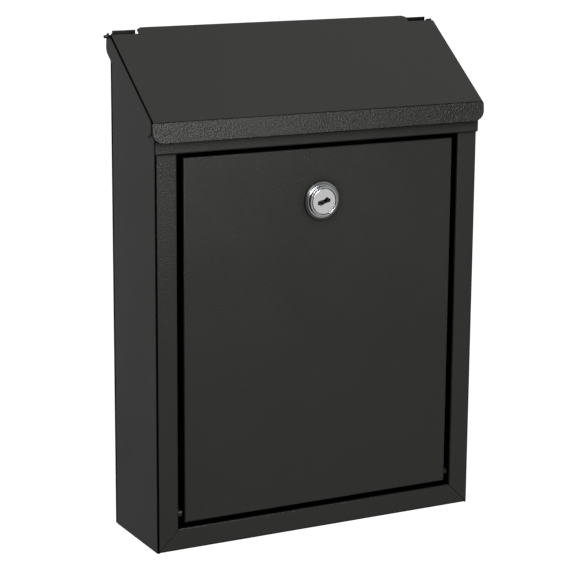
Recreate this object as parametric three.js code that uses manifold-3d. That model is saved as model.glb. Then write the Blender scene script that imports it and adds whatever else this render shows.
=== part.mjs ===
// Wall mounted mailbox of folded steel sheet, in millimetres, +Z up. The front faces -Y and the wall
// is the plane y = 0, with the origin at the centre of the flat that lies on the wall.
//
// housing  two side panels, a back panel, a bottom pan and a front rail, with the lid's hinge rod
// lid      one folded sheet that swings on the rod at the back and covers the letter slot
// door     a folded pan that drops forward on two rivets, with the body of the cam lock
// lock     the plug, its wafers and the cam, which turn together
import * as THREE from "three";
import { mergeVertices } from "three/addons/utils/BufferGeometryUtils.js";
import Module from "manifold-3d";

// ---- driving dimensions -------------------------------------------------------------------------

// Housing.
const WIDTH = 250; // outside of the side panels
const DEPTH = 73; // front face to the back panel's outer face
const SHEET = 1; // steel thickness of every folded part
const BEND = 1.5; // outside radius of a fold
const GAP = 0.3; // air between two sheets that are welded face to face
const FACE_STRIP = 16.1; // width of the strips beside the door
const SILL = 15.9; // height of the strip under the door
const RETURN = 10; // depth of the folded edges round the door opening
const WELD_FLANGE = 12; // width of the flanges that hold the sheets together

// Front rail, under the lid's lip.
const RAIL_HEIGHT = 20.7;
const RAIL_UNDER_LID = 1.3; // from the lip's upper edge down to the rail's
const RAIL_END = 0.1; // how far the rail's ends stand past the side panels
const RAIL_SHELF = 9; // the rail's upper flange

// Lid.
const LID_SLOPE = THREE.MathUtils.degToRad(36.24);
const LID_FRONT = 3.3; // the lip's upper edge, ahead of the housing's front
const LID_FRONT_TOP = 298.3; // height of the lip's upper edge
const LIP_HEIGHT = 13.6;
const LIP_LEAN = THREE.MathUtils.degToRad(5); // the lip's foot stands forward
const LIP_CORNER = 7.5; // radius of the lip's lower corners
const LIP_SLIT = 0.5; // relief between the lip and the side flanges
const LID_SIDE_GAP = 2.15; // between the side panels and the lid's flanges
const LID_FLANGE = 13.5; // depth of the lid's side flanges, square to its top
const LID_FLANGE_START = 5.4; // where the flanges' lower edges begin, behind the housing's front
const LID_FLANGE_ROUND = 7; // radius of the flanges' back ends
const LID_TONGUE = 6.4; // how far the lid's middle runs on behind its cut-back corners
const TONGUE_GAP = 0.6; // between that middle and a cut-back corner
const TONGUE_CHAMFER = new THREE.Vector2(3, 1.7);
const CORNER_WIDTH = 21.15; // of a cut-back corner
const ROOF_AIR = 1.5; // between the lid's inner face and the side panels

// Lid hinge.
const HINGE_IN = 3.4; // axis ahead of the back panel's outer face
const HINGE_UNDER = 2.15; // axis below the lid's inner face, square to it
const ROD_RADIUS = 1.1;
const HINGE_PLAY = 0.25;
const EAR_WALL = 0.85; // steel round the rod on the side panels
const EAR_FOOT = new THREE.Vector2(8, 6); // the ear runs into the side panel this far ahead and below
const EYE_WALL = 1.25; // the same on the lid's flanges
const EDGE_TO_AXIS = 1.96; // from the lid's cut-back edge to the axis, along the slope
const ROD_STUB = 2.8; // the rod's plain end, past the left flange
const ROD_COLLAR = new THREE.Vector2(1.1, 1.2); // its rim and thickness

// Back panel.
const TAB_WIDTH = 16.9; // two tabs close the lid's cut-back corners and stop the open lid
const TAB_SIDE = 0.3; // from the side panel's inner face to a tab
const TAB_RISE = 3.5; // tabs above the hinge axis
const BACK_DROP = 4.8; // the edge between the tabs, below the axis
const SIDE_DROP = 6.8; // the side panels' top, below the axis
const FIELD_PROUD = 3; // the pressed field that lies on the wall
const FIELD_SIDE = 21; // from the panel's side edge to the field
const FIELD_BOTTOM = 20;
const FIELD_UNDER = 21; // from the panel's upper edge down to the field
const FIELD_CORNER = 14;
const WALL_HOLE = 3; // radius
const WALL_HOLE_SIDE = 30; // from the field's side edge
const WALL_HOLE_END = 32; // from the field's top and bottom edges

// Bottom pan.
const DRAIN_RADIUS = 3;
const DRAIN_COUNT = 3;
const DRAIN_PITCH = 70;

// Door.
const DOOR_SIDE_GAP = 3.9;
const DOOR_BOTTOM_GAP = 3.2;
const DOOR_TOP_GAP = 2.4;
const DOOR_DEPTH = 12;
const PIVOT_UP = 5.9; // axis above the door's lower edge
const PIVOT_IN = 6; // axis behind the door's face
const RIVET_RADIUS = 1.9;
const RIVET_HEAD = new THREE.Vector2(1.5, 1.4); // its rim and thickness
const SPACER_WALL = 1.55;

// Lock. Heights are measured forward from the door's face, so a negative one is inside.
const LOCK_DROP = 37.4; // axis below the door's upper edge
const BARREL_RADIUS = 8.2;
const BARREL_FLAT = 1; // depth of the barrel's two flats
const BARREL_WALL = 1.9;
const BARREL_SHORT = 0.9; // from the barrel's end to the cam
const RING_RIM = 2.55; // the front ring beyond the barrel
const RING_FRONT = 3.8;
const RING_WALL = 1.55; // round the plug's face
const RING_ROUND = 0.5;
const PLUG_SUNK = 0.1; // the plug's face behind the ring's
const PLUG_CHAMFER = 0.25;
const PLUG_FACE_DEPTH = 0.8;
const ROSETTE_RIM = 2.65; // the trim ring beyond the front ring
const ROSETTE_RISE = 1.7;
const NUT_RIM = 2.8; // the hexagon nut's flats beyond the barrel
const NUT_THICKNESS = 4;
const LOCK_PLAY = 0.3;
const KEYWAY_TILT = THREE.MathUtils.degToRad(7);
const KEYWAY_DEPTH = 9.5;
const WAFER_COUNT = 4;
const WAFER_THICKNESS = 1;
const WAFER_PITCH = 2.5;
const FIRST_WAFER = 1.4; // behind the recess in the barrel
const WAFER_HEIGHT = 6;
const WAFER_TUCK = 0.17; // from the wafers' corners out to the plug's surface
const WAFER_WALLS = new THREE.Vector2(1.2, 1.6); // beside the window
const WAFER_SLOT_AIR = 0.3;
const CAM_LENGTH = 47;
const CAM_THICKNESS = 2;
const CAM_WIDTH = 12;
const CAM_TAPER = 1; // from the arm's edge at the hub in to its edge at the tip
const CAM_TIP = 3; // radius of the tip's corners
const CAM_HUB_RIM = 2; // the hub beyond the plug
const CAM_AIR = 0.4; // between the rail's lower flange and the cam
const DRIVE_INSET = 2.5; // from the plug's surface in to the flats of its drive square
const SCREW_RADIUS = 2;
const SCREW_LENGTH = 6;
const SCREW_HEAD = new THREE.Vector2(1.8, 2.4); // its rim and thickness
const SCREW_SLOT = new THREE.Vector2(1, 1); // its width and depth
const CAM_WASHER = new THREE.Vector2(1.2, 0.8); // its rim past the cam's square hole, and thickness

// Facets.
const BEND_STEPS = 4;
const ROUND_STEPS = 24;
const WIDE_STEPS = 40;

// ---- dimensions that follow ---------------------------------------------------------------------

const HALF = WIDTH / 2;
const OPENING_HALF = HALF - FACE_STRIP;
const INNER_HALF = HALF - SHEET - GAP;
const SIDE_DEPTH = DEPTH - SHEET - GAP; // the back panel lies behind the side panels
const LID_HALF = HALF + LID_SIDE_GAP + SHEET;
const FAR = 900; // beyond every part, for cuts

const HINGE_DROP = SHEET + HINGE_UNDER;
const HINGE_Y = DEPTH - HINGE_IN;
const HINGE_Z = roofHeight(HINGE_Y) - HINGE_DROP / Math.cos(LID_SLOPE);
const EYE_HOLE = ROD_RADIUS + HINGE_PLAY;
const BACK_TOP = HINGE_Z - BACK_DROP;
const SIDE_TOP = HINGE_Z - SIDE_DROP;
const FIELD_HALF = HALF - FIELD_SIDE;
const FIELD_TOP = BACK_TOP - FIELD_UNDER;
const WALL_CENTRE = (FIELD_BOTTOM + FIELD_TOP) / 2;

const RAIL_TOP = LID_FRONT_TOP - RAIL_UNDER_LID;
const RAIL_BOTTOM = RAIL_TOP - RAIL_HEIGHT;
const DOOR_HALF = OPENING_HALF - DOOR_SIDE_GAP;
const DOOR_BOTTOM = SILL + DOOR_BOTTOM_GAP;
const DOOR_TOP = RAIL_BOTTOM - DOOR_TOP_GAP;
const PIVOT_Z = DOOR_BOTTOM + PIVOT_UP;
const LOCK_Z = DOOR_TOP - LOCK_DROP;
const CAM_FRONT = -(DOOR_DEPTH + CAM_AIR);
const CAM_BACK = CAM_FRONT - CAM_THICKNESS;
const SCREW_SEAT = -CAM_BACK + GAP + CAM_WASHER.y + GAP; // under the screw's head, behind the door's face
const SCREW_TIP = SCREW_SEAT - SCREW_LENGTH;
const RING_RADIUS = BARREL_RADIUS + RING_RIM;
const RECESS_RADIUS = RING_RADIUS - RING_WALL;
const PLUG_BORE = BARREL_RADIUS - BARREL_WALL;
const PLUG_RADIUS = PLUG_BORE - LOCK_PLAY;
const DRIVE_HALF = PLUG_RADIUS - DRIVE_INSET;
const WAFER_HALF = Math.sqrt((PLUG_RADIUS - WAFER_TUCK) ** 2 - (WAFER_HEIGHT / 2) ** 2);
const RIVET_HOLE = RIVET_RADIUS + HINGE_PLAY;
const RING_BACK = GAP + ROSETTE_RISE + GAP;
const RECESS = RING_FRONT - PLUG_FACE_DEPTH - LOCK_PLAY;

/** Height of the lid's outer face, above the housing's floor, at a depth y behind the front. */
function roofHeight(y) {
  return LID_FRONT_TOP + (y + LID_FRONT) * Math.tan(LID_SLOPE);
}

// ---- solids -------------------------------------------------------------------------------------

const wasm = await Module();
wasm.setup();

const X = new THREE.Vector3(1, 0, 0);
const Y = new THREE.Vector3(0, 1, 0);
const Z = new THREE.Vector3(0, 0, 1);
const DRAWN_ALONG = {
  x: new THREE.Matrix4().makeBasis(Y, Z, X), // outlines of (y, z)
  y: new THREE.Matrix4().makeBasis(X, Z, Y.clone().negate()), // outlines of (x, z)
  z: new THREE.Matrix4(), // outlines of (x, y)
};

/** The closed solid inside a geometry. */
function solid(geometry) {
  const bare = geometry.clone();
  bare.deleteAttribute("normal");
  bare.deleteAttribute("uv");
  const merged = mergeVertices(bare, 1e-4);
  const corners = merged.index.array;
  const triangles = [];
  for (let i = 0; i < corners.length; i += 3) {
    const [a, b, c] = corners.slice(i, i + 3);
    if (a !== b && b !== c && c !== a) triangles.push(a, b, c);
  }
  return new wasm.Manifold(
    new wasm.Mesh({
      numProp: 3,
      vertProperties: merged.attributes.position.array,
      triVerts: new Uint32Array(triangles),
    }),
  );
}

function vectors(points) {
  return points.map(([u, v]) => new THREE.Vector2(u, v));
}

/** An outline, as points or a THREE.Shape, extruded along an axis between two coordinates. */
function prism(axis, outline, from, to) {
  const shape = outline instanceof THREE.Shape ? outline : new THREE.Shape(vectors(outline));
  const settings = { depth: to - from, bevelEnabled: false, curveSegments: ROUND_STEPS / 2 };
  const geometry = new THREE.ExtrudeGeometry(shape, settings);
  geometry.translate(0, 0, axis === "y" ? -to : from);
  return solid(geometry.applyMatrix4(DRAWN_ALONG[axis]));
}

function box([x0, x1], [y0, y1], [z0, z1]) {
  const geometry = new THREE.BoxGeometry(x1 - x0, y1 - y0, z1 - z0);
  return solid(geometry.translate((x0 + x1) / 2, (y0 + y1) / 2, (z0 + z1) / 2));
}

/** A cylinder between two coordinates on an axis, centred on the other two. */
function rod(axis, radius, from, to, [u, v] = [0, 0], steps = ROUND_STEPS) {
  const circle = new THREE.Shape();
  circle.absarc(u, v, radius, 0, 2 * Math.PI);
  const points = circle.getSpacedPoints(steps).slice(0, steps);
  return prism(axis, points.map((p) => [p.x, p.y]), from, to);
}

/** A turned part: its profile is (radius, height) pairs, with height running forward, to -Y. */
function turned(profile, steps = WIDE_STEPS) {
  const points = vectors(profile);
  if (profile[0][0] > 0) points.push(points[0].clone());
  return solid(new THREE.LatheGeometry(points, steps).rotateX(Math.PI));
}

/** A path with each inner corner rounded. */
function roundedPath(corners, radius) {
  const path = [corners[0]];
  for (let i = 1; i < corners.length - 1; i++) {
    const [before, corner, after] = vectors(corners.slice(i - 1, i + 2));
    const into = corner.clone().sub(before).normalize();
    const out = after.clone().sub(corner).normalize();
    const turn = Math.acos(into.dot(out));
    const side = Math.sign(into.cross(out));
    const start = corner.clone().addScaledVector(into, -radius * Math.tan(turn / 2));
    const centre = start.clone().add(new THREE.Vector2(-into.y, into.x).multiplyScalar(side * radius));
    for (let step = 0; step <= BEND_STEPS; step++) {
      const point = start.clone().rotateAround(centre, (side * turn * step) / BEND_STEPS);
      path.push([point.x, point.y]);
    }
  }
  path.push(corners.at(-1));
  return path;
}

/** The same path moved sideways, to its left for a positive distance. */
function offsetPath(corners, distance) {
  const points = vectors(corners);
  const lefts = points.slice(1).map((p, i) => {
    const along = p.clone().sub(points[i]).normalize();
    return new THREE.Vector2(-along.y, along.x);
  });
  return points.map((p, i) => {
    const one = lefts[Math.max(i - 1, 0)];
    const two = lefts[Math.min(i, lefts.length - 1)];
    const mitre = one.clone().add(two).normalize();
    p.addScaledVector(mitre, distance / mitre.dot(one));
    return [p.x, p.y];
  });
}

/** Section of a folded sheet: its outer face runs along the corners, which all turn to the left. */
function foldedSection(corners) {
  const inner = offsetPath(corners, SHEET);
  return [...roundedPath(corners, BEND), ...roundedPath(inner, BEND - SHEET).reverse()];
}

function mirrored(points) {
  return points.map(([u, v]) => [-u, v]).reverse();
}

function node(name, made, material) {
  const { numProp, vertProperties, triVerts } = made.getMesh();
  const position = new Float32Array((vertProperties.length / numProp) * 3);
  for (let i = 0; i < position.length / 3; i++) {
    position.set(vertProperties.subarray(i * numProp, i * numProp + 3), i * 3);
  }
  const geometry = new THREE.BufferGeometry();
  geometry.setAttribute("position", new THREE.BufferAttribute(position, 3));
  geometry.setIndex(new THREE.BufferAttribute(triVerts, 1));
  geometry.computeVertexNormals();
  const mesh = new THREE.Mesh(geometry, material.clone());
  mesh.name = name;
  return mesh;
}

// ---- materials ----------------------------------------------------------------------------------

const powderCoat = new THREE.MeshStandardMaterial({ color: 0x343433, roughness: 0.62, metalness: 0 });
const zincSteel = new THREE.MeshStandardMaterial({ color: 0xa7abad, roughness: 0.38, metalness: 1 });
const darkSteel = new THREE.MeshStandardMaterial({ color: 0x3b3c3d, roughness: 0.45, metalness: 1 });
const chrome = new THREE.MeshStandardMaterial({ color: 0xd9dbdd, roughness: 0.12, metalness: 1 });
const satinNickel = new THREE.MeshStandardMaterial({ color: 0xc4c5c6, roughness: 0.3, metalness: 1 });
const brass = new THREE.MeshStandardMaterial({ color: 0xb5965a, roughness: 0.35, metalness: 1 });

// ---- housing: drawn with y = 0 on its front face and z = 0 on its floor -------------------------

/** Everything above a plane that lies a distance under the lid's outer face. */
function aboveRoof(under) {
  const drop = under / Math.cos(LID_SLOPE);
  const [front, back] = [-DEPTH, 2 * DEPTH];
  const outline = [
    [front, roofHeight(front) - drop],
    [back, roofHeight(back) - drop],
    [back, FAR],
    [front, FAR],
  ];
  return prism("x", outline, -FAR, FAR);
}

/** The corner of the front face below its mitre, where the bottom pan's strip takes over. */
function mitreCorner(side) {
  const edge = HALF - BEND;
  const rise = SILL / FACE_STRIP;
  const inner = OPENING_HALF - FACE_STRIP;
  const height = (x) => (HALF - x) * rise;
  const outline = [
    [inner, -1],
    [edge, -1],
    [edge, height(edge)],
    [inner, height(inner)],
  ];
  return prism("y", side > 0 ? outline : mirrored(outline), -1, RETURN + 1);
}

function sidePanel(side) {
  const section = foldedSection([
    [OPENING_HALF, RETURN],
    [OPENING_HALF, 0],
    [HALF, 0],
    [HALF, SIDE_DEPTH],
    [HALF - WELD_FLANGE, SIDE_DEPTH],
  ]);
  const across = (low, high) => (side > 0 ? [low, high] : [-high, -low]);
  const wall = across(HALF - SHEET, HALF);
  const ear = new THREE.Shape();
  ear.moveTo(HINGE_Y - EAR_FOOT.x, SIDE_TOP - EAR_FOOT.y);
  ear.lineTo(SIDE_DEPTH - BEND, SIDE_TOP - EAR_FOOT.y);
  ear.lineTo(SIDE_DEPTH - BEND, SIDE_TOP);
  ear.lineTo(HINGE_Y + EYE_HOLE + EAR_WALL, HINGE_Z);
  ear.absarc(HINGE_Y, HINGE_Z, EYE_HOLE + EAR_WALL, 0, Math.PI);
  ear.closePath();
  return prism("z", side > 0 ? section : mirrored(section), 0, FAR / 2)
    .subtract(aboveRoof(SHEET + ROOF_AIR))
    .subtract(box([-FAR, FAR], [0, FAR], [SIDE_TOP, FAR]))
    .subtract(mitreCorner(side))
    .subtract(box(across(0, INNER_HALF), [-1, RETURN + 1], [RAIL_TOP - SHEET - GAP, FAR]))
    .add(prism("x", ear, ...wall))
    .subtract(rod("x", EYE_HOLE, -FAR, FAR, [HINGE_Y, HINGE_Z]))
    .subtract(rod("x", RIVET_HOLE, ...across(0, HALF - 2 * BEND), [PIVOT_IN, PIVOT_Z]));
}

/** A block with sloping sides, for the pressed field's outer skin, or inset for its hollow. */
function pressedField(inset) {
  const half = FIELD_HALF - inset;
  const [low, high] = [FIELD_BOTTOM + inset, FIELD_TOP - inset];
  const radius = FIELD_CORNER - inset;
  const rise = FIELD_PROUD + SHEET;
  const shape = new THREE.Shape();
  shape.absarc(half - rise - radius, high - rise - radius, radius, 0, Math.PI / 2);
  shape.absarc(radius + rise - half, high - rise - radius, radius, Math.PI / 2, Math.PI);
  shape.absarc(radius + rise - half, low + rise + radius, radius, Math.PI, 1.5 * Math.PI);
  shape.absarc(half - rise - radius, low + rise + radius, radius, 1.5 * Math.PI, 2 * Math.PI);
  const geometry = new THREE.ExtrudeGeometry(shape, {
    depth: 2 * SHEET,
    bevelThickness: rise,
    bevelSize: rise,
    bevelSegments: 1,
    curveSegments: 6,
  });
  return solid(geometry.applyMatrix4(DRAWN_ALONG.y));
}

function backPanel() {
  const tabTop = HINGE_Z + TAB_RISE;
  const outer = HALF - SHEET - TAB_SIDE;
  const rightHalf = [
    [HALF, 0],
    [HALF, SIDE_TOP],
    [outer, SIDE_TOP],
    [outer, tabTop],
    [outer - TAB_WIDTH, tabTop],
    [outer - TAB_WIDTH, BACK_TOP],
  ];
  const outline = [...rightHalf, ...mirrored(rightHalf)];
  const front = DEPTH - SHEET;
  const pressed = front + FIELD_PROUD;
  const beforePlate = box([-FAR, FAR], [-FAR, front], [-FAR, FAR]);
  const skin = pressedField(0).translate(0, pressed - FIELD_PROUD, 0).subtract(beforePlate);
  const hollow = pressedField(SHEET / 2).translate(0, pressed - FIELD_PROUD - SHEET, 0);
  let panel = prism("y", outline, front, DEPTH).add(skin).subtract(hollow);
  const holeX = FIELD_HALF - WALL_HOLE_SIDE;
  for (const x of [-holeX, holeX]) {
    for (const z of [FIELD_BOTTOM + WALL_HOLE_END, FIELD_TOP - WALL_HOLE_END]) {
      panel = panel.subtract(rod("y", WALL_HOLE, DEPTH - 5, DEPTH + 5, [x, z]));
    }
  }
  return panel;
}

function bottomPan() {
  const back = SIDE_DEPTH - SHEET - GAP;
  const section = foldedSection([
    [RETURN, SILL],
    [0, SILL],
    [0, 0],
    [back, 0],
    [back, WELD_FLANGE],
  ]);
  const inside = (side) => [side * INNER_HALF, side * (INNER_HALF - SHEET)].sort((a, b) => a - b);
  let pan = prism("x", section, -INNER_HALF, INNER_HALF);
  for (const side of [-1, 1]) {
    pan = pan.subtract(outsideMitre(side));
    pan = pan.add(box(inside(side), [RETURN + BEND, back - BEND], [SHEET / 2, WELD_FLANGE]));
  }
  for (let i = 0; i < DRAIN_COUNT; i++) {
    const x = (i - (DRAIN_COUNT - 1) / 2) * DRAIN_PITCH;
    pan = pan.subtract(rod("z", DRAIN_RADIUS, -1, SHEET + 1, [x, DEPTH / 2]));
  }
  return pan;
}

/** What the bottom pan leaves to a side panel: all that lies outside the mitre. */
function outsideMitre(side) {
  const edge = HALF - BEND - GAP;
  const rise = SILL / FACE_STRIP;
  const height = (x) => (HALF - x) * rise - GAP * Math.SQRT2;
  const [inner, top] = [OPENING_HALF - FACE_STRIP / 2, 2 * SILL];
  const outline = [
    [edge, -1],
    [HALF + BEND, -1],
    [HALF + BEND, top],
    [inner, top],
    [inner, height(inner)],
    [edge, height(edge)],
  ];
  return prism("y", side > 0 ? outline : mirrored(outline), -1, RETURN + 1);
}

function frontRail() {
  const front = -(SHEET + GAP);
  const section = foldedSection([
    [RAIL_SHELF, RAIL_TOP],
    [front, RAIL_TOP],
    [front, RAIL_BOTTOM],
    [DOOR_DEPTH, RAIL_BOTTOM],
  ]);
  const end = HALF + RAIL_END;
  const middle = (RAIL_TOP + RAIL_BOTTOM) / 2;
  let rail = prism("x", section, -end, end);
  for (const side of [-1, 1]) {
    const beyond = (x) => (side > 0 ? [x, FAR] : [-FAR, -x]);
    rail = rail
      .subtract(box(beyond(OPENING_HALF - GAP), [-GAP, FAR], [0, middle]))
      .subtract(box(beyond(INNER_HALF - GAP), [-GAP, FAR], [middle, FAR]));
  }
  return rail;
}

function hingeRod() {
  const seat = HALF + GAP; // a collar keeps the rod from sliding, between the ear and the flange
  const collar = rod("x", ROD_RADIUS + ROD_COLLAR.x, seat, seat + ROD_COLLAR.y);
  return rod("x", ROD_RADIUS, -(LID_HALF + ROD_STUB), LID_HALF).add(collar);
}

function pivotRivet(side) {
  const across = (low, high) => (side > 0 ? [low, high] : [-high, -low]);
  const tail = DOOR_HALF - SHEET - GAP;
  const head = OPENING_HALF + SHEET + GAP;
  return rod("x", RIVET_RADIUS, ...across(tail - RIVET_HEAD.y / 2, head + RIVET_HEAD.y / 2))
    .add(rod("x", RIVET_RADIUS + RIVET_HEAD.x, ...across(tail - RIVET_HEAD.y, tail)))
    .add(rod("x", RIVET_RADIUS + RIVET_HEAD.x, ...across(head, head + RIVET_HEAD.y)));
}

function pivotSpacer(side) {
  const across = (low, high) => (side > 0 ? [low, high] : [-high, -low]);
  const span = across(DOOR_HALF + GAP, OPENING_HALF - GAP);
  return rod("x", RIVET_HOLE + SPACER_WALL, ...span).subtract(rod("x", RIVET_HOLE, -FAR, FAR));
}

// ---- lid: drawn flat about its hinge axis, y up the slope and z square to the top ---------------

function lid() {
  const top = HINGE_DROP;
  const front = -(HINGE_Y + LID_FRONT - HINGE_DROP * Math.sin(LID_SLOPE)) / Math.cos(LID_SLOPE);
  const edge = -EDGE_TO_AXIS;
  const tongue = edge + LID_TONGUE;
  const [sine, cosine] = [Math.sin(LID_SLOPE), Math.cos(LID_SLOPE)];
  // A point of the side view, measured back from the lip's face and down from the lip's top edge.
  const fromLip = (back, down) => {
    const level = back - down * Math.tan(LIP_LEAN);
    return [front + level * cosine - down * sine, top - level * sine - down * cosine];
  };
  const deep = 2 * LID_FLANGE;

  // The folded shell: two skins, each a side view crossed with a section of the lid's channel.
  const sideView = (corners, radius, x) => prism("x", [...roundedPath(corners, radius)], -x, x);
  const channel = (half, height, radius) => {
    const corners = [[half, -FAR], [half, height], [-half, height], [-half, -FAR]];
    return prism("y", roundedPath(corners, radius), -FAR, FAR);
  };
  const outerView = [[tongue, top], fromLip(0, 0), fromLip(0, deep), [tongue, top - deep]];
  const innerView = [
    [tongue + 1, top - SHEET],
    ...offsetPath([[tongue, top], fromLip(0, 0), fromLip(0, 2 * deep)], SHEET).slice(1),
    [tongue + 1, top - 2 * deep],
  ];
  const outer = sideView(outerView, BEND, LID_HALF).intersect(channel(LID_HALF, top, BEND));
  const inner = sideView(innerView, BEND - SHEET, LID_HALF)
    .intersect(channel(LID_HALF - SHEET, top - SHEET, BEND - SHEET));

  // The lip keeps its full width down to its round corners, with the foot of its bend.
  const lipDepth = 1.25 * SHEET;
  const lip = new THREE.Shape();
  const lipLow = -LIP_HEIGHT;
  lip.moveTo(LID_HALF + 1, BEND);
  lip.lineTo(-LID_HALF - 1, BEND);
  lip.lineTo(-LID_HALF - 1, lipLow + LIP_CORNER);
  lip.lineTo(-LID_HALF, lipLow + LIP_CORNER);
  lip.absarc(LIP_CORNER - LID_HALF, lipLow + LIP_CORNER, LIP_CORNER, Math.PI, 1.5 * Math.PI);
  lip.absarc(LID_HALF - LIP_CORNER, lipLow + LIP_CORNER, LIP_CORNER, 1.5 * Math.PI, 2 * Math.PI);
  lip.lineTo(LID_HALF + 1, lipLow + LIP_CORNER);
  lip.closePath();
  const lipZone = prism("y", lip, -SHEET / 2, lipDepth)
    .rotate(-THREE.MathUtils.radToDeg(LID_SLOPE + LIP_LEAN), 0, 0)
    .translate(0, ...fromLip(0, 0));

  // The side flanges end ahead in a slanting edge and behind in a round end about the hinge.
  const low = top - LID_FLANGE;
  const slitBack = lipDepth + LIP_SLIT;
  const round = LID_FLANGE_ROUND;
  const roundY = (HINGE_IN - round + (low + round) * sine) / cosine;
  const roundCentre = [roundY, low + round];
  const apart = Math.hypot(...roundCentre);
  const eye = EYE_HOLE + EYE_WALL;
  const lean = Math.atan2(-roundCentre[1], -roundCentre[0]) - Math.acos((round - eye) / apart);
  const flange = new THREE.Shape();
  flange.moveTo(edge, top + 1);
  flange.lineTo(...fromLip(slitBack, -2 * BEND));
  flange.lineTo(...fromLip(slitBack, LIP_HEIGHT / 2));
  flange.lineTo((LID_FLANGE_START - HINGE_Y + low * sine) / cosine, low);
  flange.absarc(...roundCentre, round, -Math.PI / 2, lean);
  flange.absarc(0, 0, eye, lean, Math.PI / 2);
  flange.lineTo(edge, top);
  flange.closePath();
  const underBends = top - 1.25 * BEND;
  const panel = [
    [tongue, top + 1],
    [front - BEND, top + 1],
    [front - BEND, underBends],
    [tongue, underBends],
  ];
  const kept = lipZone.add(prism("x", flange, -FAR, FAR)).add(prism("x", panel, -FAR, FAR));

  let made = outer.subtract(inner).intersect(kept);
  const cornerHalf = LID_HALF - CORNER_WIDTH;
  const tongueHalf = cornerHalf - TONGUE_GAP;
  for (const side of [-1, 1]) {
    const corner = [
      [cornerHalf, edge],
      [tongueHalf, edge - 1],
      [tongueHalf, tongue - TONGUE_CHAMFER.y],
      [tongueHalf - TONGUE_CHAMFER.x, tongue],
      [tongueHalf - TONGUE_CHAMFER.x, FAR],
      [FAR, FAR],
      [FAR, edge],
    ];
    made = made.subtract(prism("z", side > 0 ? corner : mirrored(corner), underBends, FAR));
  }
  return made.subtract(rod("x", EYE_HOLE, -FAR, FAR));
}

// ---- door: drawn about its pivot axis -----------------------------------------------------------

/** A block with its front edges rounded: the outer or inner skin of the door pan. */
function roundedBlock(half, low, high, front, radius) {
  const shape = new THREE.Shape();
  shape.moveTo(radius - half, low + radius);
  shape.lineTo(half - radius, low + radius);
  shape.lineTo(half - radius, high - radius);
  shape.lineTo(radius - half, high - radius);
  shape.closePath();
  const length = 4 * DOOR_DEPTH;
  const geometry = new THREE.ExtrudeGeometry(shape, {
    depth: length,
    bevelThickness: radius,
    bevelSize: radius,
    bevelSegments: BEND_STEPS,
  });
  geometry.translate(0, 0, -length - radius - front);
  return solid(geometry.applyMatrix4(DRAWN_ALONG.y));
}

function doorPanel() {
  const [low, high] = [-PIVOT_UP, DOOR_TOP - PIVOT_Z];
  const lockHeight = LOCK_Z - PIVOT_Z;
  const outer = roundedBlock(DOOR_HALF, low, high, -PIVOT_IN, BEND);
  const inner = roundedBlock(DOOR_HALF - SHEET, low + SHEET, high - SHEET, SHEET - PIVOT_IN, BEND - SHEET);
  const behind = box([-FAR, FAR], [DOOR_DEPTH - PIVOT_IN, FAR], [-FAR, FAR]);
  const flat = BARREL_RADIUS - BARREL_FLAT + GAP;
  const lockHole = rod("y", BARREL_RADIUS + GAP, -DOOR_DEPTH, 0, [0, lockHeight])
    .intersect(box([-flat, flat], [-FAR, FAR], [-FAR, FAR]));
  return outer
    .subtract(inner)
    .subtract(behind)
    .subtract(lockHole)
    .subtract(rod("x", RIVET_HOLE, -FAR, FAR));
}

// ---- lock: drawn about its axis, with y = 0 on the door's face ----------------------------------

function lockRosette() {
  const bore = BARREL_RADIUS + GAP;
  const rim = RING_RADIUS + ROSETTE_RIM;
  const base = GAP;
  const top = base + ROSETTE_RISE;
  return turned([
    [bore, base],
    [rim, base],
    [rim, base + 0.45],
    [rim - 0.35, base + 0.75],
    [RING_RADIUS + 0.9, top - 0.1],
    [RING_RADIUS + 0.5, top],
    [bore, top],
  ]);
}

function lockHousing() {
  const end = CAM_FRONT + BARREL_SHORT;
  const body = turned([
    [PLUG_BORE, end],
    [BARREL_RADIUS, end],
    [BARREL_RADIUS, RING_BACK],
    [RING_RADIUS, RING_BACK],
    [RING_RADIUS, RING_FRONT - RING_ROUND],
    [RING_RADIUS - 0.3 * RING_ROUND, RING_FRONT - 0.3 * RING_ROUND],
    [RING_RADIUS - RING_ROUND, RING_FRONT],
    [RECESS_RADIUS + RING_ROUND / 2, RING_FRONT],
    [RECESS_RADIUS, RING_FRONT - RING_ROUND / 2],
    [RECESS_RADIUS, RECESS],
    [PLUG_BORE, RECESS],
  ]);
  const flat = BARREL_RADIUS - BARREL_FLAT;
  const flats = box([-flat, flat], [-FAR, FAR], [-FAR, FAR]);
  const ring = box([-FAR, FAR], [-FAR, -RING_BACK], [-FAR, FAR]);
  return body.intersect(flats.add(ring));
}

function lockNut() {
  const seat = SHEET + GAP;
  const radius = (BARREL_RADIUS + NUT_RIM) / Math.cos(Math.PI / 6);
  const corners = [];
  for (let i = 0; i < 6; i++) {
    const angle = ((i + 0.5) * Math.PI) / 3;
    corners.push([radius * Math.cos(angle), radius * Math.sin(angle)]);
  }
  const thread = rod("y", BARREL_RADIUS + GAP, -FAR, FAR);
  return prism("y", corners, seat, seat + NUT_THICKNESS).subtract(thread);
}

/** The keyway: two offset slots that meet in a Z, as wide as the key's blade. */
function keyway() {
  const outline = [
    [-5.2, -1.5],
    [-2.2, -2.7],
    [0.4, -1.4],
    [4.4, -1.2],
    [5.2, 0.5],
    [2.4, 2.7],
    [0.2, 1.3],
    [-4.6, 0.9],
  ];
  return prism("y", outline, -FAR, KEYWAY_DEPTH - RING_FRONT);
}

/** Where wafer number i lies behind the door's face. */
function waferBack(i) {
  return FIRST_WAFER - RECESS + i * WAFER_PITCH;
}

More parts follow.
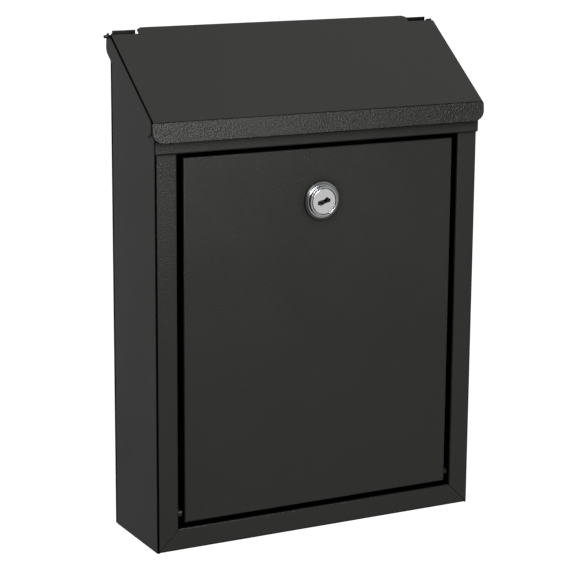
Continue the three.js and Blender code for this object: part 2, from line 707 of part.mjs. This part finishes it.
function lockPlug() {
  const faceBack = RECESS + LOCK_PLAY;
  const face = RING_FRONT - PLUG_SUNK;
  const faceRadius = RECESS_RADIUS - LOCK_PLAY;
  const shaftEnd = CAM_FRONT + GAP;
  let plug = turned([
    [0, shaftEnd],
    [PLUG_RADIUS, shaftEnd],
    [PLUG_RADIUS, faceBack],
    [faceRadius, faceBack],
    [faceRadius, face - PLUG_CHAMFER],
    [faceRadius - PLUG_CHAMFER, face],
    [0, face],
  ]);
  plug = plug.subtract(keyway());
  const halfSlot = WAFER_HEIGHT / 2 + WAFER_SLOT_AIR;
  for (let i = 0; i < WAFER_COUNT; i++) {
    const y = waferBack(i);
    const span = [y - WAFER_SLOT_AIR, y + WAFER_THICKNESS + WAFER_SLOT_AIR];
    plug = plug.subtract(box([-PLUG_RADIUS, PLUG_RADIUS], span, [-halfSlot, halfSlot]));
  }
  const across = [-DRIVE_HALF, DRIVE_HALF];
  // The square stands level with the cam's hole while the keyway is tilted.
  const square = box(across, [-shaftEnd - GAP, -CAM_BACK - GAP], across);
  plug = plug.add(square.rotate(0, THREE.MathUtils.radToDeg(KEYWAY_TILT), 0));
  return plug.subtract(rod("y", SCREW_RADIUS + GAP, SCREW_TIP - GAP, FAR));
}

function lockWafer(i) {
  const y = waferBack(i);
  const half = WAFER_HEIGHT / 2;
  const plate = box([-WAFER_HALF, WAFER_HALF], [y, y + WAFER_THICKNESS], [-half, half]);
  const window = [WAFER_WALLS.x - WAFER_HALF, WAFER_HALF - WAFER_WALLS.y];
  return plate.subtract(box(window, [y - 1, y + 2 * WAFER_THICKNESS], [-half / 2, half / 2]));
}

/** The cam, lying to the left: a round hub with a square hole and a tapering arm. */
function lockCam() {
  const half = CAM_WIDTH / 2;
  const tipX = CAM_TIP - CAM_LENGTH;
  const tipHalf = half - CAM_TAPER;
  const arm = new THREE.Shape();
  arm.moveTo(0, half);
  arm.lineTo(tipX, tipHalf);
  arm.absarc(tipX, tipHalf - CAM_TIP, CAM_TIP, Math.PI / 2, Math.PI);
  arm.absarc(tipX, CAM_TIP - tipHalf, CAM_TIP, Math.PI, 1.5 * Math.PI);
  arm.lineTo(0, -half);
  arm.closePath();
  const square = [-DRIVE_HALF - GAP, DRIVE_HALF + GAP];
  return prism("y", arm, -CAM_FRONT, -CAM_BACK)
    .add(rod("y", PLUG_RADIUS + CAM_HUB_RIM, -CAM_FRONT, -CAM_BACK))
    .subtract(box(square, [0, FAR], square));
}

function camWasher() {
  const front = -CAM_BACK + GAP;
  const hole = rod("y", SCREW_RADIUS + GAP, 0, FAR);
  const radius = DRIVE_HALF + GAP + CAM_WASHER.x;
  return rod("y", radius, front, front + CAM_WASHER.y).subtract(hole);
}

function camScrew() {
  const top = SCREW_SEAT + SCREW_HEAD.y;
  const halfSlot = SCREW_SLOT.x / 2;
  return rod("y", SCREW_RADIUS + SCREW_HEAD.x, SCREW_SEAT, top)
    .subtract(box([-halfSlot, halfSlot], [top - SCREW_SLOT.y, FAR], [-FAR, FAR]))
    .add(rod("y", SCREW_RADIUS, SCREW_TIP, SCREW_SEAT + GAP));
}

// ---- the mailbox --------------------------------------------------------------------------------

const group = new THREE.Group();

/** A group whose own origin is a joint's axis. */
function frameAt(parent, x, y, z) {
  const frame = new THREE.Group();
  frame.position.set(x, y, z);
  parent.add(frame);
  return frame;
}

const housing = frameAt(group, 0, -(DEPTH + FIELD_PROUD), -WALL_CENTRE);
housing.add(
  node("left_side_panel", sidePanel(-1), powderCoat),
  node("right_side_panel", sidePanel(1), powderCoat),
  node("back_panel", backPanel(), powderCoat),
  node("bottom_pan", bottomPan(), powderCoat),
  node("front_top_rail", frontRail(), powderCoat),
);

const lidHinge = frameAt(housing, 0, HINGE_Y, HINGE_Z);
const lidMesh = node("lid", lid(), powderCoat);
lidMesh.rotation.x = LID_SLOPE;
lidHinge.add(node("hinge_rod", hingeRod(), darkSteel), lidMesh);

const doorHinge = frameAt(housing, 0, PIVOT_IN, PIVOT_Z);
doorHinge.add(
  node("left_pivot_rivet", pivotRivet(-1), darkSteel),
  node("right_pivot_rivet", pivotRivet(1), darkSteel),
  node("left_pivot_spacer", pivotSpacer(-1), darkSteel),
  node("right_pivot_spacer", pivotSpacer(1), darkSteel),
  node("door_panel", doorPanel(), powderCoat),
);

const lock = frameAt(doorHinge, 0, -PIVOT_IN, LOCK_Z - PIVOT_Z);
lock.add(
  node("lock_rosette", lockRosette(), chrome),
  node("lock_housing", lockHousing(), chrome),
  node("lock_nut", lockNut(), zincSteel),
  node("lock_cam", lockCam(), zincSteel),
  node("cam_washer", camWasher(), zincSteel),
  node("cam_screw", camScrew(), zincSteel),
);

const keyed = frameAt(lock, 0, 0, 0);
keyed.rotation.y = -KEYWAY_TILT;
keyed.add(node("lock_plug", lockPlug(), satinNickel));
for (let i = 0; i < WAFER_COUNT; i++) {
  keyed.add(node(`lock_wafer_${i + 1}`, lockWafer(i), brass));
}

export default group;
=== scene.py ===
import math

import bpy
from mathutils import Matrix, Vector


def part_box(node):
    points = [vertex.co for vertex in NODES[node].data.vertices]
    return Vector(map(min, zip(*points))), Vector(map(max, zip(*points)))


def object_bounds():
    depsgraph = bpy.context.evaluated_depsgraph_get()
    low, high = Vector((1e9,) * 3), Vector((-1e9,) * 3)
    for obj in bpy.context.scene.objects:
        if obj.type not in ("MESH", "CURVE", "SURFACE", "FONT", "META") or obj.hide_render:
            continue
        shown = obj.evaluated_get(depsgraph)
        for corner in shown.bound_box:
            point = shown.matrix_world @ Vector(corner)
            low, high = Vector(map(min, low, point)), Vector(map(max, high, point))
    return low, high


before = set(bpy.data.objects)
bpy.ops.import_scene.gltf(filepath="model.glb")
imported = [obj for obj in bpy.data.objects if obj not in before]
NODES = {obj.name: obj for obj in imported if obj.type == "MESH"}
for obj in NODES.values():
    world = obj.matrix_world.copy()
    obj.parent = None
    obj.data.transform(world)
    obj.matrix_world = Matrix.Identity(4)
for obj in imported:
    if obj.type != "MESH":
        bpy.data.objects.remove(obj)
CAD_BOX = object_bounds()
MM = 0.001
LOWEST = 0
HIGHEST = 1
WHITE = (1, 1, 1, 1)


def corner(node, which):
    """The LOWEST or HIGHEST corner of a CAD node."""
    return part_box(node)[which]


# ---- camera --------------------------------------------------------------------------------------

CAMERA_PLACE = Vector((-0.6758, -1.3099, 0.3274))
CAMERA_TARGET = Vector((0.00087, -0.02566, -0.00670))
CAMERA_ROLL = math.radians(-0.42)
LENS = 129.95  # focal length in millimetres
SENSOR_WIDTH = 36  # millimetres
NEAREST = 0.05  # metres from the camera at which drawing starts
FURTHEST = 100  # and at which it ends


def make_camera():
    """The photograph's viewpoint."""
    data = bpy.data.cameras.new("camera")
    data.lens = LENS
    data.sensor_width = SENSOR_WIDTH
    data.clip_start = NEAREST
    data.clip_end = FURTHEST
    obj = bpy.data.objects.new("camera", data)
    bpy.context.scene.collection.objects.link(obj)
    ahead = (CAMERA_TARGET - CAMERA_PLACE).normalized()
    right = ahead.cross(Vector((0, 0, 1))).normalized()
    right = Matrix.Rotation(CAMERA_ROLL, 3, ahead) @ right
    up = right.cross(ahead)
    turn = Matrix((right, up, -ahead)).transposed()
    obj.matrix_world = Matrix.Translation(CAMERA_PLACE) @ turn.to_4x4()
    bpy.context.scene.camera = obj


# ---- node trees ----------------------------------------------------------------------------------

UNPLACED = 0.5  # where a new colour stop stands until it is given its place
# Rays cast to find the painted shade in corners and gaps.
PAINTED_SHADE_SAMPLES = 12


def grey(value, warm=0.0):
    """A grey, with a share of its blue taken away."""
    return (value, value, value * (1 - warm))


def dimmed(colour, factor):
    return tuple(channel * factor for channel in colour)


def maths(tree, operation, a, b):
    """One step of arithmetic on two values, each a number or another node's output."""
    node = tree.nodes.new("ShaderNodeMath")
    node.operation = operation
    for socket, value in zip(node.inputs, (a, b)):
        if isinstance(value, (int, float)):
            socket.default_value = value
        else:
            tree.links.new(value, socket)
    return node.outputs["Value"]


def vector_maths(tree, operation, vector, fixed=None):
    """One step of arithmetic on a vector and, where the operation takes two, a fixed vector."""
    node = tree.nodes.new("ShaderNodeVectorMath")
    node.operation = operation
    tree.links.new(vector, node.inputs[0])
    if fixed is not None:
        node.inputs[1].default_value = fixed
    return node.outputs


class Nodes:
    """A material's node tree, built by short calls."""

    def __init__(self, name):
        self.material = bpy.data.materials.new(name)
        self.material.use_nodes = True
        self.tree = self.material.node_tree
        self.shader = self.tree.nodes["Principled BSDF"]
        coordinates = self.tree.nodes.new("ShaderNodeTexCoord")
        self.place = coordinates.outputs["Object"]
        self.normal = coordinates.outputs["Normal"]

    def link(self, a, b):
        self.tree.links.new(a, b)

    def give(self, name, value):
        """Sets the shader's input of that name, from a number, a colour or a node's output."""
        if isinstance(value, bpy.types.NodeSocket):
            self.link(value, self.shader.inputs[name])
        else:
            self.shader.inputs[name].default_value = value

    def mapped(self, scale):
        node = self.tree.nodes.new("ShaderNodeMapping")
        node.inputs["Scale"].default_value = scale
        self.link(self.place, node.inputs["Vector"])
        return node.outputs["Vector"]

    def noise(self, scale, detail=2.0, rough=0.5, at=None):
        """Noise with so many waves to the metre."""
        node = self.tree.nodes.new("ShaderNodeTexNoise")
        node.inputs["Scale"].default_value = scale
        node.inputs["Detail"].default_value = detail
        node.inputs["Roughness"].default_value = rough
        self.link(at or self.place, node.inputs["Vector"])
        return node.outputs["Fac"]

    def rings(self, centre, scale, detail):
        """Noise that changes only with the distance from an axis along y through centre."""
        shift = vector_maths(self.tree, "SUBTRACT", self.place, centre)["Vector"]
        flat = vector_maths(self.tree, "MULTIPLY", shift, (1, 0, 1))["Vector"]
        length = vector_maths(self.tree, "LENGTH", flat)["Value"]
        node = self.tree.nodes.new("ShaderNodeTexNoise")
        node.noise_dimensions = "1D"
        node.inputs["Scale"].default_value = scale
        node.inputs["Detail"].default_value = detail
        self.link(length, node.inputs["W"])
        return node.outputs["Fac"]

    def cells(self, scale, smoothness):
        """Rounded cells, by their distance from each cell's middle."""
        node = self.tree.nodes.new("ShaderNodeTexVoronoi")
        node.feature = "SMOOTH_F1"
        node.inputs["Scale"].default_value = scale
        node.inputs["Smoothness"].default_value = smoothness
        self.link(self.place, node.inputs["Vector"])
        return node.outputs["Distance"]

    def spread(self, value, source, target):
        """Carries a value from the source range to the target range."""
        node = self.tree.nodes.new("ShaderNodeMapRange")
        names = ("From Min", "From Max", "To Min", "To Max")
        for name, number in zip(names, (*source, *target)):
            node.inputs[name].default_value = number
        self.link(value, node.inputs["Value"])
        return node.outputs["Result"]

    def maths(self, operation, a, b):
        return maths(self.tree, operation, a, b)

    def size_of(self, value):
        return self.maths("ABSOLUTE", value, 0)

    def blend(self, a, b, shares):
        """The two values' sum, each times its share."""
        first = self.maths("MULTIPLY", a, shares[0])
        second = self.maths("MULTIPLY", b, shares[1])
        return self.maths("ADD", first, second)

    def limit(self, value, mask, most):
        """Holds a value down to at most this much where the mask is 1."""
        return self.maths("MINIMUM", value, self.spread(mask, (0, 1), (1, most)))

    def colours(self, value, stops):
        """A colour ramp with these (place, colour) stops."""
        node = self.tree.nodes.new("ShaderNodeValToRGB")
        ramp = node.color_ramp
        while len(ramp.elements) < len(stops):
            ramp.elements.new(UNPLACED)
        for element, (position, colour) in zip(ramp.elements, stops):
            element.position = position
            element.color = (*colour, 1)
        self.link(value, node.inputs["Fac"])
        return node.outputs["Color"]

    def greys(self, value, stops, warm=0.0):
        """A ramp of greys, with (place, brightness) stops."""
        return self.colours(value, [(position, grey(tone, warm)) for position, tone in stops])

    def split(self, vector):
        node = self.tree.nodes.new("ShaderNodeSeparateXYZ")
        self.link(vector, node.inputs["Vector"])
        return node.outputs

    def scaled(self, colour, factor):
        node = self.tree.nodes.new("ShaderNodeVectorMath")
        node.operation = "SCALE"
        self.link(colour, node.inputs["Vector"])
        self.link(factor, node.inputs["Scale"])
        return node.outputs["Vector"]

    def painted_gap_shade(self, reach, power):
        """Painted shade: falls from 1 in the open towards 0 in a corner or a gap."""
        node = self.tree.nodes.new("ShaderNodeAmbientOcclusion")
        node.samples = PAINTED_SHADE_SAMPLES
        node.inputs["Distance"].default_value = reach
        return self.maths("POWER", node.outputs["AO"], power)

    def bump(self, height, distance, strength=1.0, under=None):
        """Bumps so many metres high, laid over the bumps of another normal if one is given."""
        node = self.tree.nodes.new("ShaderNodeBump")
        if isinstance(strength, (int, float)):
            node.inputs["Strength"].default_value = strength
        else:
            self.link(strength, node.inputs["Strength"])
        node.inputs["Distance"].default_value = distance
        self.link(height, node.inputs["Height"])
        if under:
            self.link(under, node.inputs["Normal"])
        return node.outputs["Normal"]


# ---- powder coat ---------------------------------------------------------------------------------

# Brightness along the mix of grain and drift, and how much less blue than red the coat is.
COAT_TONES = ((0.30, 0.011), (0.52, 0.016), (0.74, 0.023))
WARM = 0.05
TONE_SHARES = (0.6, 0.4)  # of the grain and the drift
COAT_ROUGHNESS = (0.31, 0.40)
ROUGHNESS_RANGE = (0.6, 1.4)  # of the grain and the drift added up
COAT_IOR = 1.5
SPECULAR_LEVEL = 0.5
SHEEN = (1.0, 1.0, 0.965, 1)  # the coat's reflection seen head on, a little less blue than the light

GRAIN = 1300  # the coat's grains per metre
GRAIN_HEIGHT = 0.00046  # metres, as all heights and reaches below
PIMPLES = GRAIN * 0.75
PIMPLE_SMOOTHNESS = 0.6
HEIGHT_SHARES = (0.6, 0.5)  # of the grain and the pimples
PEEL = 330  # the coat's orange peel, in waves per metre
PEEL_HEIGHT = 0.0001
PEEL_STRENGTH = 0.3
DRIFT = 14  # slow changes of tone, per metre

# The grain stands out most on the leaning lip, then on the front, and least elsewhere.
FRONT_FACING = (-0.98, -0.80)  # the normal's y, from the front to what no longer counts as it
FRONT_STRENGTH = (1.0, 0.3)
LIP_FACING = (0.03, 0.08)  # the normal's z, from upright to the lip's lean
LIP_STRENGTH = (0.5, 1.0)

FOLD = 0.10  # painted shade: what is left of the coat's brightness on an outer fold
FOLD_STOPS = ((0.15, 1), (0.38, FOLD), (0.85, FOLD), (0.96, 1))  # painted shade, by how far the normal turns sideways
OUTER_X = 0.1215  # folds further out than this are outer ones
FRONT_Y = corner("left_side_panel", LOWEST)[1]
CUT_END_AHEAD = 0.4 * MM  # how far before the side panels the cut ends of lip and rail begin
CUT_END_TURN = 0.3  # the least sideways turn of a cut end's normal
LIP_AHEAD = 2 * MM  # how far before the side panels the fold of the lip begins
LIP_FOLD = 0.4  # painted shade: what is left of the coat's brightness on the fold of the lip
LIP_FOLD_STOPS = ((0.16, 0), (0.30, 1), (0.66, 1), (0.76, 0))  # by the normal's z
PAINTED_SHADE_REACH = 0.008  # how near another surface must be for painted shade to darken this one
PAINTED_SHADE_POWER = 2.8


def coat_painted_shade(m, facing):
    """Painted shade: the share of the coat's brightness that is left, 1 on open faces, less on folds and in
    gaps.
    """
    where = m.split(m.place)
    sideways = m.size_of(facing["X"])
    # Painted shade on the folds at the outer corners, where the normal turns away from both faces.
    outside = m.maths("GREATER_THAN", m.size_of(where["X"]), OUTER_X)
    inside = m.maths("SUBTRACT", 1.0, outside)
    fold = m.maths("MAXIMUM", m.greys(sideways, FOLD_STOPS), inside)
    # Painted shade on the cut ends of the lip and the rail, ahead of the side panels.
    ahead = m.maths("LESS_THAN", where["Y"], FRONT_Y - CUT_END_AHEAD)
    turned = m.maths("GREATER_THAN", sideways, CUT_END_TURN)
    fold = m.limit(fold, m.maths("MULTIPLY", ahead, turned), FOLD)
    # Painted shade on the fold between the lid's top and its lip.
    before = m.maths("LESS_THAN", where["Y"], FRONT_Y - LIP_AHEAD)
    crease = m.greys(facing["Z"], LIP_FOLD_STOPS)
    fold = m.limit(fold, m.maths("MULTIPLY", before, crease), LIP_FOLD)
    # Painted shade in corners and gaps darkens the coat further.
    return m.maths("MULTIPLY", fold, m.painted_gap_shade(PAINTED_SHADE_REACH, PAINTED_SHADE_POWER))


def powder_coat():
    """Fine textured black powder coat, with painted shade that darkens it to near black on the outer folds
    and in corners.
    """
    m = Nodes("powder_coat_black")
    facing = m.split(m.normal)
    grain = m.noise(GRAIN, 3, 0.6)
    pimples = m.cells(PIMPLES, PIMPLE_SMOOTHNESS)
    peel = m.noise(PEEL, 2, 0.5)
    drift = m.noise(DRIFT, 3, 0.55)

    forward = m.spread(facing["Y"], FRONT_FACING, FRONT_STRENGTH)
    leaning = m.spread(facing["Z"], LIP_FACING, LIP_STRENGTH)
    strength = m.maths("MULTIPLY", forward, leaning)
    normal = m.bump(m.blend(grain, pimples, HEIGHT_SHARES), GRAIN_HEIGHT, strength)
    m.give("Normal", m.bump(peel, PEEL_HEIGHT, PEEL_STRENGTH, under=normal))

    shade = coat_painted_shade(m, facing)
    colour = m.greys(m.blend(grain, drift, TONE_SHARES), COAT_TONES, WARM)
    # Painted shade darkens the coat's colour and its reflection alike.
    m.give("Base Color", m.scaled(colour, shade))
    m.give("Specular IOR Level", m.maths("MULTIPLY", shade, SPECULAR_LEVEL))
    m.give("Roughness", m.spread(m.maths("ADD", grain, drift), ROUGHNESS_RANGE, COAT_ROUGHNESS))
    m.give("IOR", COAT_IOR)
    m.give("Specular Tint", SHEEN)
    return m.material


# ---- bare metals ---------------------------------------------------------------------------------

PATTERN_RANGE = (0.3, 0.7)  # the part of a noise's range that a metal's tone and roughness follow
LINE_STRETCH = 0.04  # a brushed line's waves along x, for each one across it
BRUSHED_DIM = 0.8  # a brushed line's darkest tone
BRUSHED_ROUGH = (0.8, 1.25)  # a brushed metal's roughness, least and most, as shares of its usual one
SPUN_DIM = 0.88
SPUN_ROUGH = (0.75, 1.3)
SPUN_SHARES = (0.6, 0.4)  # of the rings and the haze
HAZE = 400  # the haze on turned metal, in waves per metre


def tone_metal(m, colour, dim, tone):
    """Makes the shader a metal whose colour follows a tone, from a dimmed colour to the full one."""
    low, high = PATTERN_RANGE
    m.give("Base Color", m.colours(tone, [(low, dimmed(colour, dim)), (high, colour)]))
    m.give("Metallic", 1.0)


def brushed(name, colour, rough, lines, fine, bump):
    """Bare metal with fine lines, stretched along x."""
    m = Nodes(name)
    across = m.noise(1.0, 3, 0.6, at=m.mapped((lines * LINE_STRETCH, lines, lines)))
    speck = m.noise(fine, 2, 0.6)
    tone_metal(m, colour, BRUSHED_DIM, across)
    m.give("Roughness", m.spread(speck, PATTERN_RANGE, [rough * share for share in BRUSHED_ROUGH]))
    m.give("Normal", m.bump(across, bump))
    return m.material


def spun(name, colour, rough, rings, centre, bump):
    """Turned metal: faint rings about the lock's axis."""
    m = Nodes(name)
    ring = m.rings(centre, rings, 2)
    tone = m.blend(ring, m.noise(HAZE, 3, 0.6), SPUN_SHARES)
    tone_metal(m, colour, SPUN_DIM, tone)
    m.give("Roughness", m.spread(tone, PATTERN_RANGE, [rough * share for share in SPUN_ROUGH]))
    m.give("Normal", m.bump(ring, bump))
    return m.material


def paint(node, material):
    for slot in NODES[node].material_slots:
        slot.link = "OBJECT"
        slot.material = material


# ---- finer edges on the CAD's own parts ----------------------------------------------------------

JOIN_DISTANCE = 2e-6  # corners nearer together than this become one
CREASE_ANGLE = math.radians(35)  # faces that meet more sharply than this keep a hard edge
FLAT_ANGLE = math.radians(0.4)  # faces that meet more flatly than this become one
BEVEL_ANGLE = math.radians(40)  # edges sharper than this are rounded


def clean_group():
    """Joins split corners and smooths every fold, with creases where two faces meet sharply."""
    group = bpy.data.node_groups.new("clean_folds", "GeometryNodeTree")
    group.interface.new_socket("Geometry", in_out="INPUT", socket_type="NodeSocketGeometry")
    group.interface.new_socket("Geometry", in_out="OUTPUT", socket_type="NodeSocketGeometry")
    nodes, links = group.nodes, group.links
    start = nodes.new("NodeGroupInput")
    end = nodes.new("NodeGroupOutput")
    merge = nodes.new("GeometryNodeMergeByDistance")
    merge.inputs["Distance"].default_value = JOIN_DISTANCE
    bare = nodes.new("GeometryNodeRemoveAttribute")
    bare.inputs["Name"].default_value = "custom_normal"
    smooth = nodes.new("GeometryNodeSetShadeSmooth")
    smooth.domain = "FACE"
    crease = nodes.new("GeometryNodeSetShadeSmooth")
    crease.domain = "EDGE"
    crease.inputs["Shade Smooth"].default_value = False
    angle = nodes.new("GeometryNodeInputMeshEdgeAngle")
    sharp = nodes.new("FunctionNodeCompare")
    sharp.operation = "GREATER_THAN"
    sharp.inputs["B"].default_value = CREASE_ANGLE
    links.new(angle.outputs["Unsigned Angle"], sharp.inputs["A"])
    links.new(sharp.outputs["Result"], crease.inputs["Selection"])
    source = start.outputs["Geometry"]
    for step in (merge, bare, smooth, crease):
        links.new(source, step.inputs["Geometry"])
        source = step.outputs["Geometry"]
    links.new(source, end.inputs["Geometry"])
    return group


def refine(node, clean_folds, width, segments):
    """Cleans a CAD node's mesh, rounds its sharp edges and levels the shading of its flats."""
    modifiers = NODES[node].modifiers
    clean = modifiers.new("clean", "NODES")
    clean.node_group = clean_folds
    flat = modifiers.new("flat", "DECIMATE")
    flat.decimate_type = "DISSOLVE"
    flat.angle_limit = FLAT_ANGLE
    bevel = modifiers.new("edge", "BEVEL")
    bevel.limit_method = "ANGLE"
    bevel.angle_limit = BEVEL_ANGLE
    bevel.width = width
    bevel.segments = segments
    bevel.miter_outer = "MITER_ARC"
    level = modifiers.new("level", "WEIGHTED_NORMAL")
    level.mode = "FACE_AREA"
    level.keep_sharp = True


# ---- stage ---------------------------------------------------------------------------------------

# Soft lights round the object, as (direction, strength, tightness); the room between them is dim,
# which draws each fold as a dark line.
ROOM = 0.04
GLOWS = (
    ((0.32, 0.05, 0.90), 0.605, 5),
    ((0.38, -0.90, -0.30), 0.60, 7),
    ((-0.454, 0.862, -0.02), 0.325, 7),
    ((0.95, 0.20, 0.10), 0.30, 3),
    ((0.20, 0.95, 0.25), 0.25, 3),
)

FLOOR_DROP = 1.1  # from the object's lowest point down to the floor
FLOOR_SIDE = 20  # how far the floor runs to either side and forward
FLOOR_BACK = 40  # and how far behind
FLOOR_TONES = ((0.3, 0.80), (0.7, 0.84))
FLOOR_NOISE = 3  # waves per metre
FLOOR_ROUGHNESS = 0.9
FLOOR_GLOW = 0.85  # the floor's own light, so that it stays pale


def area_light(name, place, target, energy, width, height=None):
    """A soft light that the camera does not see, square unless it is given a height."""
    data = bpy.data.lights.new(name, "AREA")
    data.energy = energy
    data.size = width
    if height:
        data.shape = "RECTANGLE"
        data.size_y = height
    obj = bpy.data.objects.new(name, data)
    bpy.context.scene.collection.objects.link(obj)
    ahead = (Vector(target) - Vector(place)).normalized()
    obj.rotation_euler = ahead.to_track_quat("-Z", "Y").to_euler()
    obj.location = place
    obj.visible_camera = False


def studio_world():
    """White to the camera; to the object, a dim room with a few wide soft lights."""
    world = bpy.data.worlds.new("studio")
    bpy.context.scene.world = world
    world.use_nodes = True
    tree = world.node_tree
    background = tree.nodes["Background"]
    background.inputs["Color"].default_value = WHITE
    direction = tree.nodes.new("ShaderNodeTexCoord").outputs["Generated"]
    total = ROOM
    for aim, strength, tightness in GLOWS:
        towards = vector_maths(tree, "DOT_PRODUCT", direction, Vector(aim).normalized())["Value"]
        lobe = maths(tree, "POWER", maths(tree, "MAXIMUM", towards, 0.0), tightness)
        total = maths(tree, "ADD", total, maths(tree, "MULTIPLY", lobe, strength))
    seen = tree.nodes.new("ShaderNodeLightPath").outputs["Is Camera Ray"]
    tree.links.new(maths(tree, "MAXIMUM", total, seen), background.inputs["Strength"])


def make_floor():
    """A wide pale floor far below the object, which neither lights it nor shows in it."""
    m = Nodes("floor_white")
    m.give("Base Color", m.greys(m.noise(FLOOR_NOISE), FLOOR_TONES))
    m.give("Roughness", FLOOR_ROUGHNESS)
    m.give("Emission Color", WHITE)
    m.give("Emission Strength", FLOOR_GLOW)
    mesh = bpy.data.meshes.new("floor")
    low = CAD_BOX[LOWEST][2] - FLOOR_DROP
    near = [(-FLOOR_SIDE, -FLOOR_SIDE, low), (FLOOR_SIDE, -FLOOR_SIDE, low)]
    far = [(FLOOR_SIDE, FLOOR_BACK, low), (-FLOOR_SIDE, FLOOR_BACK, low)]
    mesh.from_pydata(near + far, [], [(0, 1, 2, 3)])
    mesh.materials.append(m.material)
    floor = bpy.data.objects.new("floor", mesh)
    bpy.context.scene.collection.objects.link(floor)
    floor.visible_diffuse = False
    floor.visible_glossy = False


def make_lights():
    """A small strip in front, aimed at the lid's lip, and a large weak light from high at the left."""
    area_light("front_strip", (-0.03, -0.75, 0.30), (-0.02, -0.08, 0.12), 3.5, 0.28, 0.10)
    area_light("high_left", (-0.9, -0.9, 1.3), (-0.05, -0.08, 0.0), 3, 1.6)


# ---- the mailbox ---------------------------------------------------------------------------------

make_camera()
studio_world()
make_floor()
make_lights()

COAT = powder_coat()
LOCK_CENTRE = (corner("lock_rosette", LOWEST) + corner("lock_rosette", HIGHEST)) / 2
CHROME = spun("chrome_bright", (0.56, 0.57, 0.58), 0.20, 3000, LOCK_CENTRE, 0.000002)
SATIN = spun("nickel_satin", (0.93, 0.93, 0.935), 0.24, 5200, LOCK_CENTRE, 0.000004)
ZINC = brushed("zinc_plated", (0.62, 0.63, 0.62), 0.32, 1800, 700, 0.00001)
DARK = brushed("dark_steel", (0.055, 0.055, 0.056), 0.36, 1500, 900, 0.00001)
# Brass, darkened to near black as painted shade for the deep keyway the wafers sit in.
BRASS_IN_PAINTED_SHADE = brushed("brass_wafer_painted_shade", (0.05, 0.042, 0.03), 0.5, 2200, 900, 0.000008)

SHEET_METAL = (
    "left_side_panel", "right_side_panel", "back_panel", "bottom_pan", "front_top_rail", "lid", "door_panel",
)
PIVOTS = (
    "hinge_rod", "left_pivot_rivet", "right_pivot_rivet", "left_pivot_spacer", "right_pivot_spacer",
)
LOCK_FRONT = ("lock_rosette", "lock_housing")
LOCK_BACK = ("lock_nut", "lock_cam", "cam_washer", "cam_screw")
WAFERS = ("lock_wafer_1", "lock_wafer_2", "lock_wafer_3", "lock_wafer_4")

# Each kind of part, with its material and the width and steps of its rounded edges.
KINDS = (
    (SHEET_METAL, COAT, 0.22 * MM, 3),
    (PIVOTS, DARK, 0.18 * MM, 2),
    (LOCK_FRONT, CHROME, 0.08 * MM, 2),
    (("lock_plug",), SATIN, 0.07 * MM, 2),
    (LOCK_BACK, ZINC, 0.15 * MM, 2),
    (WAFERS, BRASS_IN_PAINTED_SHADE, 0.08 * MM, 2),
)
CLEAN_FOLDS = clean_group()
for names, material, edge, steps in KINDS:
    for name in names:
        paint(name, material)
        refine(name, CLEAN_FOLDS, edge, steps)

bpy.context.scene.view_settings.view_transform = "Standard"
